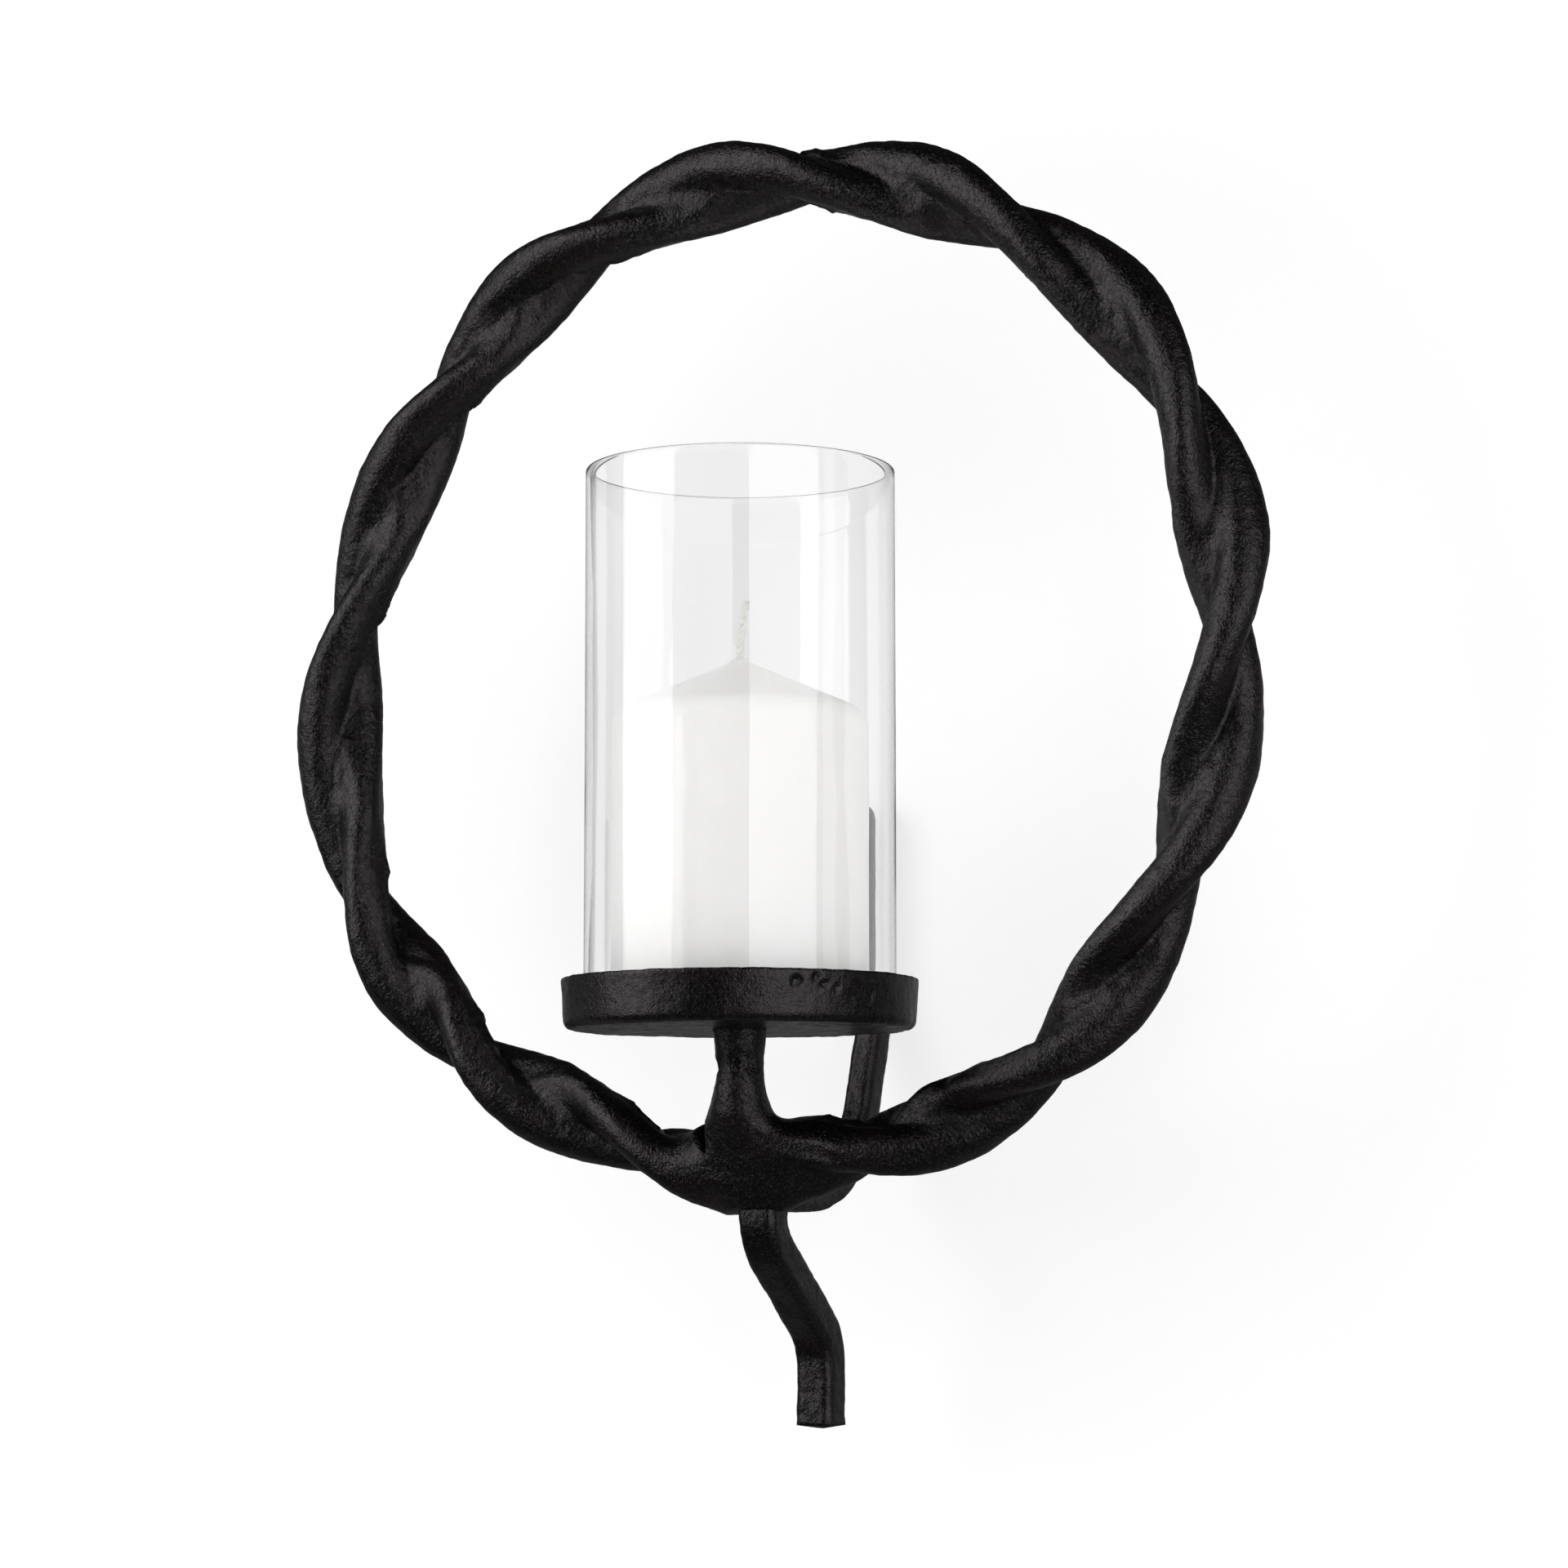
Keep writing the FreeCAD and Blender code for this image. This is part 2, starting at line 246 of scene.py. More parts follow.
def settle_in(piece, body, slot, *nodes):
    """Hangs the piece on the body it rides on and hides the CAD nodes it stands for; the slot is
    not used.
    """
    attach(piece, body)
    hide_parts(*nodes)


# ---------------------------------------------------------------- camera
CAMERA_TURN_DEG = 27.0
CAMERA_PITCH_DEG = 6.25
CAMERA_PLACE = (0.5772, -1.2062, -0.1148)
LENS_MM = 97.3
SENSOR_MM = 36.0


def add_camera():
    data = bpy.data.cameras.new("camera")
    data.lens = LENS_MM
    data.sensor_width = SENSOR_MM
    camera = bpy.data.objects.new("camera", data)
    camera.location = CAMERA_PLACE
    camera.rotation_euler = (math.radians(90 + CAMERA_PITCH_DEG), 0, math.radians(CAMERA_TURN_DEG))
    bpy.context.scene.collection.objects.link(camera)
    bpy.context.scene.camera = camera


# ---------------------------------------------------------------- materials
class Finish:
    """A material with one Principled shader, and short calls that add nodes to it."""

    def __init__(self, name, **sockets):
        self.material = bpy.data.materials.new(name)
        self.material.use_nodes = True
        self.tree = self.material.node_tree
        self.shader = self.tree.nodes["Principled BSDF"]
        for socket, value in sockets.items():
            self.shader.inputs[socket.replace("_", " ")].default_value = value
        self.place = self.node("ShaderNodeTexCoord").outputs["Object"]

    def node(self, kind, **settings):
        made = self.tree.nodes.new(kind)
        for key, value in settings.items():
            setattr(made, key, value)
        return made

    def link(self, output, target):
        self.tree.links.new(output, target)

    def stretched(self, scale):
        mapping = self.node("ShaderNodeMapping")
        mapping.inputs["Scale"].default_value = scale
        self.link(self.place, mapping.inputs["Vector"])
        return mapping.outputs["Vector"]

    def noise(self, scale, detail=2.0, roughness=0.5, distortion=0.0, place=None):
        made = self.node("ShaderNodeTexNoise")
        made.inputs["Scale"].default_value = scale
        made.inputs["Detail"].default_value = detail
        made.inputs["Roughness"].default_value = roughness
        made.inputs["Distortion"].default_value = distortion
        self.link(place or self.place, made.inputs["Vector"])
        return made.outputs["Fac"]

    def stored(self, name):
        return self.node("ShaderNodeAttribute", attribute_name=name).outputs["Fac"]

    def between(self, value, low, high, to_low=0.0, to_high=1.0):
        made = self.node("ShaderNodeMapRange", interpolation_type="SMOOTHSTEP")
        self.link(value, made.inputs["Value"])
        made.inputs["From Min"].default_value = low
        made.inputs["From Max"].default_value = high
        made.inputs["To Min"].default_value = to_low
        made.inputs["To Max"].default_value = to_high
        return made.outputs["Result"]

    def maths(self, operation, first, second):
        made = self.node("ShaderNodeMath", operation=operation)
        for socket, value in zip(made.inputs, (first, second)):
            if isinstance(value, (int, float)):
                socket.default_value = value
            else:
                self.link(value, socket)
        return made.outputs["Value"]

    def mix(self, factor, first, second):
        made = self.node("ShaderNodeMix", data_type="RGBA")
        self.link(factor, made.inputs["Factor"])
        colours = [s for s in made.inputs if s.type == "RGBA"]
        for socket, value in zip(colours, (first, second)):
            if isinstance(value, tuple):
                socket.default_value = (*value, 1.0)
            else:
                self.link(value, socket)
        return [s for s in made.outputs if s.type == "RGBA"][0]

    def bump(self, height, depth, strength=1.0, under=None):
        made = self.node("ShaderNodeBump")
        made.inputs["Strength"].default_value = strength
        made.inputs["Distance"].default_value = depth
        self.link(height, made.inputs["Height"])
        if under:
            self.link(under, made.inputs["Normal"])
        return made.outputs["Normal"]

    def clear_where(self, share):
        """Lets light straight through by the given share, from 0 to 1."""
        clear = self.node("ShaderNodeBsdfTransparent")
        mix = self.node("ShaderNodeMixShader")
        self.link(share, mix.inputs[0])
        self.link(self.shader.outputs["BSDF"], mix.inputs[1])
        self.link(clear.outputs["BSDF"], mix.inputs[2])
        self.link(mix.outputs["Shader"], self.tree.nodes["Material Output"].inputs["Surface"])

    def colour(self, value):
        self.link(value, self.shader.inputs["Base Color"])

    def roughness(self, value):
        self.link(value, self.shader.inputs["Roughness"])

    def normal(self, value):
        self.link(value, self.shader.inputs["Normal"])


COOL_BLACK = (0.0012, 0.0011, 0.0013)
WARM_BLACK = (0.0034, 0.0022, 0.0018)
# darker black painted into the ribbon's hollows as shade
SHADED_HOLLOW_BLACK = (0.0012, 0.0009, 0.0008)
GRIT_GREY = (0.0190, 0.0175, 0.0180)


def cast_black_finish(name, grain=1.0):
    """Satin black paint over sand-cast iron: patchy, gritty, and duller where it is hollow, with
    painted shade darkening the hollows.
    """
    finish = Finish(name, Specular_IOR_Level=0.42)
    finish.shader.inputs["Specular Tint"].default_value = (1.0, 0.93, 0.98, 1)
    patches = finish.between(finish.noise(38, 3.0), 0.38, 0.66)
    hollow = finish.stored("hollow")
    # painted shade: the hollows are mixed towards a darker black
    paint = finish.mix(hollow, finish.mix(patches, COOL_BLACK, WARM_BLACK), SHADED_HOLLOW_BLACK)
    grit = finish.between(finish.noise(1500, 2.0, 0.6), 0.50, 0.74, 0.0, 0.7)
    finish.colour(finish.mix(grit, paint, GRIT_GREY))
    worn = finish.between(finish.noise(240, 4.0, 0.6), 0.35, 0.7, 0.19, 0.30)
    finish.roughness(finish.maths("ADD", worn, finish.maths("MULTIPLY", hollow, 0.10)))
    peel = finish.bump(finish.noise(420, 2.0, 0.5, 0.8), 0.00018 * grain)
    worms = finish.bump(finish.noise(820, 2.0, 0.55, 1.0), 0.00034 * grain, 1.0, peel)
    finish.normal(finish.bump(finish.noise(2100, 2.0), 0.00013, 1.0, worms))
    return finish.material


# ---------------------------------------------------------------- ring and stem, one casting
PLACE_COUNT = len(EDGE_ON_DEG)
PLACES = np.array(
    [
        EDGE_ON_DEG[i % PLACE_COUNT] + 360.0 * (i // PLACE_COUNT)
        for i in range(-2, PLACE_COUNT + 3)
    ]
)
SLOPES = 2.0 / (PLACES[2:] - PLACES[:-2])

VALLEY_LEAN = -0.00060
WEB_FILL = 0.0030
KNOT_SPREAD_DEG = 9.0

# web: thickness on each side of the ribbon's middle, and where it starts and ends between one
# edge-on place (0) and the next one clockwise (1)
WEB_THICKNESS = 0.0060
WEB_START = 0.26
WEB_FULL = 0.50
WEB_FADE = 0.64
WEB_END = 0.92
WEB_NARROW = 0.46
WEB_SHRINK = 0.75
WEB_TILT_DEG = 40.0
WEB_INWARD = 0.0035
WEB_REACH = 0.0078
WEB_BLEND = 0.0030

# fillings of the valleys: place round the ring, reach from the ribbon's middle, spread
OUTER_FILLS = ((87.0, 0.0106, 8.0), (117.5, 0.0095, 8.0))
INNER_FILLS = ((281.5, 0.0088, 5.0),)
FILL_THICKNESS = 0.0030

# shares taken off the inner side of the section, and shifts outwards: place, amount, spread
INNER_TRIMS = ((265.0, 0.42, 7.0), (292.0, 0.32, 7.0))
SHIFTS = ((264.0, 0.0018, 8.0),)

# round cores where the valleys are filled in: place, radius, spread
CORES = ((263.0, 0.0084, 8.0),)

# gusset between the stem's left side and the ring
GUSSET_START = (-0.0030, -0.0975, -0.0740)
GUSSET_END = (-0.0190, -0.0900, -0.0890)
GUSSET_RADIUS = 0.0055

# hollow under the ridge to the right of the stem's foot
GROOVE_START = (0.0070, -0.1050, -0.0828)
GROOVE_END = (0.0330, -0.1012, -0.0905)
GROOVE_RADIUS = 0.0034
GROOVE_BLEND = 0.0016

# how much nearer the ring's sides sit to its middle than its outline says
DRAWN_IN_LEFT = 0.0022
DRAWN_IN_RIGHT = 0.0008

# stem: depth below the pan, half widths across X and Y, distance behind the pan's axis
STEM_DEPTH = (-0.0010, 0.0040, 0.0110, 0.0180, 0.0245, 0.0310, 0.0380, 0.0440, 0.0500)
STEM_HALF_X = (0.0082, 0.0074, 0.0069, 0.0070, 0.0078, 0.0100, 0.0120, 0.0100, 0.0060)
STEM_HALF_Y = (0.0082, 0.0074, 0.0069, 0.0071, 0.0076, 0.0085, 0.0085, 0.0070, 0.0040)
STEM_BEHIND = (0.0, 0.0, 0.0, 0.0003, 0.0018, 0.0050, 0.0085, 0.0110, 0.0130)
STEM_BLEND = 0.009
RING_VOXEL = 0.00104
SMOOTHING = 0.6

# fine relief: heights of the paint's peel and the casting's lumps, and on the webs of the wrinkles
# and the ragged layer, with how far the webs sink
PEEL_HEIGHT = 0.00014
LUMP_HEIGHT = 0.00028
WRINKLE_HEIGHT = 0.00040
RAGGED_HEIGHT = 0.00020
WEB_SINK = 0.00028
RING_REACH = 0.015
RING_REACH_END = 0.021

# weld across the front of the stem: place, half height, and heights of its lumps and creases
WELD_Z = -0.062
WELD_SPREAD = 0.0065
WELD_LUMPS = 0.0009
WELD_CREASES = 0.0006


def twist_deg(angle):
    """Turn of the ring's section: 90 degrees, give or take half turns, where it stands edge-on."""
    i = np.searchsorted(PLACES, angle, side="right") - 1
    start, end = PLACES[i], PLACES[i + 1]
    width = end - start
    slope_in, slope_out = SLOPES[i - 1], SLOPES[i]
    t = (angle - start) / width
    turns = (
        slope_in * width * (t**3 - 2 * t**2 + t)
        + (3 * t**2 - 2 * t**3)
        + slope_out * width * (t**3 - t**2)
    )
    return 90.0 - 180.0 * (i - 2 + turns)


def local_sum(angle, changes):
    """Sum of local changes round the ring, each a (place, amount, spread)."""
    return sum(amount * bump_at(angle - place, spread) for place, amount, spread in changes)


def centre_radius(angle):
    waves = sum(
        height * np.cos(count * np.radians(angle - crest)) for count, height, crest in OUT_OF_ROUND
    )
    return RING_RADIUS + waves - LIFT * bump_at(angle - LIFT_DEG, LIFT_SPREAD_DEG)


def section_radius(turn_deg, angle):
    """A ribbon with a round lobe along each edge; the valley leans towards one of the lobes."""
    turn = np.radians(turn_deg)
    knot = bump_at(angle - KNOT_DEG, KNOT_SPREAD_DEG)
    lobed = LOBE_MEAN + LOBE_WIDE * np.cos(2 * turn) + LOBE_SQUARE * np.cos(4 * turn)
    lobed = lobed + VALLEY_LEAN * np.sin(4 * turn)
    return lobed + knot * WEB_FILL * (1 - np.cos(2 * turn))


def web_field(angle, outward, forward):
    """A flat web that fills the valley where the ribbon lies face-on, clockwise of each edge-on
    place, and leaves a crease between ridge and web before that."""
    share = ((twist_deg(angle) - 90.0) / 180.0) % 1.0
    thick = WEB_THICKNESS * ramp(share, WEB_START, WEB_FULL) * (1 - ramp(share, WEB_FADE, WEB_END))
    width_left = 1 - WEB_SHRINK * ramp(share, WEB_NARROW, WEB_END)
    tilt = np.radians(WEB_TILT_DEG * (share - 0.5))
    across = outward * np.cos(tilt) + np.abs(forward) * np.sin(tilt)
    up = np.abs(forward) * np.cos(tilt) - outward * np.sin(tilt)
    past_side = np.abs(across + WEB_INWARD * width_left) - WEB_REACH * width_left
    return soft_overlap(up - thick, past_side, WEB_BLEND)


def filled_notch_field(angle, outward, forward):
    """Short flat fillings of the outer and inner valleys, at the edge-on places with no notch."""
    outer, inner = local_sum(angle, OUTER_FILLS), local_sum(angle, INNER_FILLS)
    past = np.where(outward > 0, outward - outer, -outward - inner)
    return soft_overlap(past, np.abs(forward) - FILL_THICKNESS, WEB_BLEND)


def soft_union(first, second, blend):
    """Smaller of two fields, with a soft inside corner where they meet."""
    share = np.clip(0.5 + 0.5 * (second - first) / blend, 0, 1)
    return first * share + second * (1 - share) - blend * share * (1 - share)


def soft_overlap(first, second, blend):
    """Larger of two fields, with a soft outside corner where they meet."""
    return -soft_union(-first, -second, blend)


def ring_place(points):
    """Angle round the ring, and distances outward and forward from the section's middle."""
    x, z = points[:, 0], points[:, 2] - RING_RISE
    angle = np.degrees(np.arctan2(z, x)) % 360.0
    outward = np.hypot(x, z) - centre_radius(angle)
    forward = -RING_STANDOFF - points[:, 1]
    return angle, outward, forward


def ring_point(angle, around_deg, radius):
    around = np.radians(around_deg)
    reach = centre_radius(angle) + radius * np.cos(around)
    turn = np.radians(angle)
    return np.stack(
        [
            reach * np.cos(turn),
            -RING_STANDOFF - radius * np.sin(around),
            RING_RISE + reach * np.sin(turn),
        ],
        axis=-1,
    )


def ring_field(points):
    angle, outward, forward = ring_place(points)
    outward = outward - local_sum(angle, SHIFTS)
    around = np.degrees(np.arctan2(forward, outward))
    radius = section_radius(around - twist_deg(angle), angle)
    inner_side = np.clip(-np.cos(np.radians(around)), 0, 1)
    radius = radius * (1 - local_sum(angle, INNER_TRIMS) * inner_side)
    distance = np.hypot(outward, forward)
    ribbon = soft_union(distance - radius, distance - local_sum(angle, CORES), WEB_BLEND)
    webbed = soft_union(ribbon, web_field(angle, outward, forward), WEB_BLEND)
    return soft_union(webbed, filled_notch_field(angle, outward, forward), WEB_BLEND)


def stem_field(points):
    depth = PAN_FOOT_Z - points[:, 2]
    half_x = np.interp(depth, STEM_DEPTH, STEM_HALF_X)
    half_y = np.interp(depth, STEM_DEPTH, STEM_HALF_Y)
    middle = AXIS_Y + np.interp(depth, STEM_DEPTH, STEM_BEHIND)
    x, y = points[:, 0] / half_x, (points[:, 1] - middle) / half_y
    side = (np.hypot(x, y) - 1) * np.minimum(half_x, half_y)
    ends = np.maximum(STEM_DEPTH[0] - depth, depth - STEM_DEPTH[-1])
    return np.maximum(side, ends)


def rod_field(points, start, end, radius, thinning):
    """A rod that thins towards both ends."""
    start, line = np.array(start), np.subtract(end, start)
    along = np.clip((points - start) @ line / (line @ line), 0, 1)
    distance = np.linalg.norm(points - start - along[:, None] * line, axis=1)
    return distance - radius * (1 - thinning * (2 * along - 1) ** 2)


def casting_field(points):
    """Below 0 inside the casting: ring and stem, run together with a soft inside corner."""
    whole = soft_union(ring_field(points), stem_field(points), STEM_BLEND)
    gusset = rod_field(points, GUSSET_START, GUSSET_END, GUSSET_RADIUS, 0.0)
    groove = rod_field(points, GROOVE_START, GROOVE_END, GROOVE_RADIUS, 0.6)
    return soft_overlap(soft_union(whole, gusset, STEM_BLEND), -groove, GROOVE_BLEND)


def field_slope(field, points):
    step = 0.00005
    return np.stack(
        [
            (field(points + step * axis) - field(points - step * axis)) / (2 * step)
            for axis in np.eye(3)
        ],
        axis=1,
    )


def settle(field, points, rounds):
    """Moves points onto the field's zero surface."""
    for _ in range(rounds):
        slope = field_slope(field, points)
        value = field(points)
        move = value / np.maximum(np.sum(slope * slope, axis=1), 0.3)
        points = points - np.clip(move, -0.002, 0.002)[:, None] * slope
    return points


def rough_ring():
    rows, columns = 720, 48
    angle = np.repeat(np.arange(rows) * 360.0 / rows, columns)
    around = np.tile(np.arange(columns) * 360.0 / columns, rows)
    radius = section_radius(around - twist_deg(angle), angle)
    return ring_point(angle, around, radius), tube_faces(rows, columns, joined=True)


def rough_stem():
    """Closed tube through the stem's sections."""
    depths = np.linspace(STEM_DEPTH[0], STEM_DEPTH[-1], 60)
    columns = 48
    points = []
    for depth in depths:
        half_x = np.interp(depth, STEM_DEPTH, STEM_HALF_X)
        half_y = np.interp(depth, STEM_DEPTH, STEM_HALF_Y)
        middle = AXIS_Y + np.interp(depth, STEM_DEPTH, STEM_BEHIND)
        for j in range(columns):
            turn = 2 * math.pi * j / columns
            points.append(
                (half_x * math.cos(turn), middle + half_y * math.sin(turn), PAN_FOOT_Z - depth)
            )
    faces = tube_faces(len(depths), columns)
    last = (len(depths) - 1) * columns
    faces.append(tuple(range(columns))[::-1])
    faces.append(tuple(last + j for j in range(columns)))
    return np.array(points), faces


def web_share(points):
    """1 on the webs in the ribbon's valleys, 0 on its lobes and away from the ring."""
    angle, outward, forward = ring_place(points)
    around = np.degrees(np.arctan2(forward, outward))
    turn = np.radians(around - twist_deg(angle))
    on_ring = ramp(-np.hypot(outward, forward), -RING_REACH_END, -RING_REACH)
    valley = 0.5 - 0.5 * np.cos(2 * turn)
    return on_ring * ramp(valley, 0.35, 0.95)


def casting_detail(points):
    """Height to add to each point of the casting, and how hollow its place is; the finish paints
    shade there and makes it duller.
    """
    web = web_share(points)
    wrinkles = np.abs(layered(points, 0.0085, 5))
    height = PEEL_HEIGHT * noise(points, 0.0030, 23) + LUMP_HEIGHT * layered(points, 0.0130, 11)
    ragged = WRINKLE_HEIGHT * wrinkles + RAGGED_HEIGHT * layered(points, 0.0060, 41)
    height += web * (ragged - WEB_SINK)
    # how hollow each place is: there the paint is darkened as painted shade, and made duller
    hollow = np.clip(web * (0.75 - 0.8 * wrinkles), 0, 1)
    weld = bump_at(points[:, 2] - WELD_Z, WELD_SPREAD) * ramp(-points[:, 1], 0.098, 0.104)
    lumps = WELD_LUMPS * noise(points, 0.0042, 71)
    creases = WELD_CREASES * np.abs(noise(points, 0.0026, 73))
    return height + weld * (lumps - creases), hollow


def even_mesh(piece, spacing):
    """Replaces the piece's overlapping tubes with one closed skin of even quads."""
    remesh = piece.modifiers.new("remesh", "REMESH")
    remesh.mode = "VOXEL"
    remesh.voxel_size = spacing
    remesh.adaptivity = 0.0
    remesh.use_smooth_shade = True
    apply_modifiers(piece)


def twisted_ring_and_stem():
    """The ring and the stem as one skin, settled on the casting's field, with fine relief."""
    material = cast_black_finish("cast_black_ring")
    ring_points, ring_faces = rough_ring()
    stem_points, stem_faces = rough_stem()
    faces = ring_faces + [tuple(len(ring_points) + i for i in face) for face in stem_faces]
    piece = make_object("ring_casting", np.vstack([ring_points, stem_points]), faces, material)
    even_mesh(piece, RING_VOXEL)
    edges = mesh_edges(piece)
    points = settle(casting_field, mesh_points(piece), 2)
    for _ in range(3):
        middle = neighbour_mean(points, edges)
        points = settle(casting_field, points + SMOOTHING * (middle - points), 1)
    normals = field_slope(casting_field, points)
    normals /= np.linalg.norm(normals, axis=1)[:, None]
    height, hollow = casting_detail(points)
    points = points + normals * height[:, None]
    points[:, 0] += DRAWN_IN_LEFT * ramp(-points[:, 0], 0.02, RING_RADIUS)
    points[:, 0] -= DRAWN_IN_RIGHT * ramp(points[:, 0], 0.02, RING_RADIUS)
    set_points(piece, points)
    store(piece, "hollow", hollow)
    settle_in(piece, "holder", "cast_black", "twisted_ring", "pan_stem")


def apply_modifiers(piece):
    """Bakes the modifiers into the mesh."""
    graph = bpy.context.evaluated_depsgraph_get()
    mesh = bpy.data.meshes.new_from_object(piece.evaluated_get(graph))
    piece.modifiers.clear()
    old = piece.data
    name = old.name
    piece.data = mesh
    bpy.data.meshes.remove(old)
    mesh.name = name


# ---------------------------------------------------------------- candle pan
PAN_TOP_RADIUS = pan_high[0]
PAN_FOOT_RADIUS = 0.0516
PAN_RIM = 0.0050
# roundings of the foot's edge, the rim's edges and the corner of the floor
PAN_ROUNDINGS = (0.0024, 0.0008, 0.0012)
PAN_GRID = 0.00085
PAN_COLUMNS = 470

# casting marks on the pan's side: azimuth from the front (degrees), depth below the rim, half
# width, half height, depth into the metal
PAN_PITS = (
    (45.5, 0.0037, 0.0024, 0.0016, 0.0009),
    (52.0, 0.0022, 0.0010, 0.0018, 0.0008),
    (55.0, 0.0042, 0.0022, 0.0009, 0.0008),
    (59.5, 0.0054, 0.0012, 0.0010, 0.0006),
    (70.0, 0.0072, 0.0050, 0.0032, 0.0005),
    (66.0, 0.0046, 0.0009, 0.0013, 0.0005),
    (-34.0, 0.0088, 0.0030, 0.0018, 0.0003),
)


def pan_pits(points):
    """Depth of the ragged casting pits at each point of the pan."""
    out = np.hypot(points[:, 0], points[:, 1] - AXIS_Y)
    azimuth = np.arctan2(points[:, 0], AXIS_Y - points[:, 1])
    depth = np.zeros(len(points))
    for place, drop, half_width, half_height, deep in PAN_PITS:
        across = (azimuth - math.radians(place)) * PAN_TOP_RADIUS / half_width
        up = (points[:, 2] - PAN_TOP_Z + drop) / half_height
        ragged = np.hypot(across, up) + 0.5 * noise(points, 0.0022, 83)
        depth = np.maximum(depth, deep * (1 - ramp(ragged, 0.55, 1.15)))
    return depth * ramp(out, PAN_FOOT_RADIUS - 0.002, PAN_FOOT_RADIUS - 0.001)


def candle_pan():
    """Shallow round dish with a recess for the glass and the candle."""
    inside = PAN_TOP_RADIUS - PAN_RIM
    foot_round, rim_round, floor_round = PAN_ROUNDINGS
    outline = rounded_line(
        [
            (0, PAN_FOOT_Z, 0), (PAN_FOOT_RADIUS, PAN_FOOT_Z, foot_round),
            (PAN_TOP_RADIUS, PAN_TOP_Z, rim_round), (inside, PAN_TOP_Z, rim_round),
            (inside, PAN_FLOOR_Z, floor_round), (0, PAN_FLOOR_Z, 0),
        ],
        PAN_GRID,
    )
    points, faces = turned(outline, PAN_COLUMNS)
    piece = make_object("cast_pan", points, faces, cast_black_finish("cast_black_pan", 0.55))
    facing_out(piece)
    normals = mesh_normals(piece)
    height = 0.00010 * noise(points, 0.0030, 3) + 0.00022 * layered(points, 0.0140, 7)
    height -= pan_pits(points)
    set_points(piece, points + normals * height[:, None])
    store(piece, "hollow", np.zeros(len(points)))
    settle_in(piece, "holder", "cast_black", "candle_pan")


# ---------------------------------------------------------------- square bars: wall arm and tail
BAR_CORNER = 0.0030
BAR_GRID = 0.0008


def bar_route(y, z, heading_deg, steps):
    """Places (y, z, heading) along a bar in the plane x = 0: heading 0 runs to +Y, 90 runs up.
    Steps are ("run", length) or ("bend", radius, turn)."""
    places = [(y, z, math.radians(heading_deg))]
    for step in steps:
        y, z, heading = places[-1]
        if step[0] == "run":
            count = max(1, round(step[1] / BAR_GRID))
            for k in range(1, count + 1):
                along = step[1] * k / count
                ahead = (y + along * math.cos(heading), z + along * math.sin(heading))
                places.append((*ahead, heading))
            continue
        radius, turn = step[1], math.radians(step[2])
        side = 1.0 if turn > 0 else -1.0
        count = max(2, round(radius * abs(turn) / BAR_GRID))
        for k in range(1, count + 1):
            now = heading + turn * k / count
            past = side * radius * (math.sin(now) - math.sin(heading))
            rise = side * radius * (math.cos(now) - math.cos(heading))
            places.append((y + past, z - rise, now))
    return np.array(places)


def bar_section(width, count):
    """Rounded square as points (across, up), starting in the middle of its right side."""
    half, corner = width / 2, BAR_CORNER
    line = rounded_line(
        [
            (half, 0, 0), (half, half, corner), (-half, half, corner),
            (-half, -half, corner), (half, -half, corner), (half, 0, 0),
        ],
        width * 4 / count,
    )
    length = np.concatenate([[0], np.cumsum(np.linalg.norm(np.diff(line, axis=0), axis=1))])
    even = np.arange(count) * length[-1] / count
    return np.stack([np.interp(even, length, line[:, k]) for k in (0, 1)], axis=1)


def bar_mesh(width, route, columns, start_round, end_round):
    """Bar along a route, its ends drawn in over the given lengths. Also gives each point's place
    round the section, from 0 to 1."""
    section = bar_section(width, columns)
    length = np.concatenate([[0], np.cumsum(np.hypot(np.diff(route[:, 0]), np.diff(route[:, 1])))])
    points = []
    for (y, z, heading), along in zip(route, length):
        scale = 1.0
        for gap, rounding in ((along, start_round), (length[-1] - along, end_round)):
            if gap < rounding:
                scale = min(scale, math.sqrt(max(0.02, 1 - (1 - gap / rounding) ** 2)))
        across, up = (section * scale).T
        points.append(
            np.stack([across, y - up * math.sin(heading), z + up * math.cos(heading)], axis=1)
        )
    rows = len(points)
    faces = tube_faces(rows, columns)
    points = np.vstack(points)
    ends = np.stack([points[:columns].mean(axis=0), points[-columns:].mean(axis=0)])
    faces += end_fans(columns, (rows - 1) * columns, len(points), len(points) + 1)
    around = np.concatenate([np.tile(np.arange(columns) / columns, rows), (0, 0)])
    return np.vstack([points, ends]), faces, around


ARM_WIDTH = arm_high[0] * 2
ARM_SLIMMING = 0.80
ARM_OFFSET = 0.0012
ARM_START_Y = -0.0810
ARM_START_Z = -0.0985
ARM_FLAT_RUN = 0.0240
ARM_LOW_BEND = 0.0420
ARM_LOW_TURN_DEG = 72.0
ARM_SLOPE_RUN = 0.0200
ARM_HIGH_BEND = 0.0800
ARM_SEAM = 0.0004
SCREW_SPACING = 0.0280
SCREW_HOLE_RADIUS = 0.00225
SCREW_HEAD_RADIUS = 0.0044


def screw_cutter(z):
    """Shape of a countersunk screw hole, along Y."""
    front, past, count = -ARM_WIDTH, 0.002, 40
    sink = SCREW_HEAD_RADIUS - SCREW_HOLE_RADIUS
    profile = (
        (SCREW_HEAD_RADIUS + past, front - past),
        (SCREW_HOLE_RADIUS, front + sink),
        (SCREW_HOLE_RADIUS, past),
    )
    turns = [2 * math.pi * j / count for j in range(count)]
    points = [
        (radius * math.cos(turn), y, z + radius * math.sin(turn))
        for radius, y in profile
        for turn in turns
    ]
    faces = tube_faces(len(profile), count)
    faces.append(tuple(range(count)))
    faces.append(tuple(2 * count + j for j in range(count))[::-1])
    cutter = make_object("cutter", np.array(points), faces, cut_material())
    facing_out(cutter)
    return cutter


def cut_material():
    return bpy.data.materials.get("cut") or bpy.data.materials.new("cut")


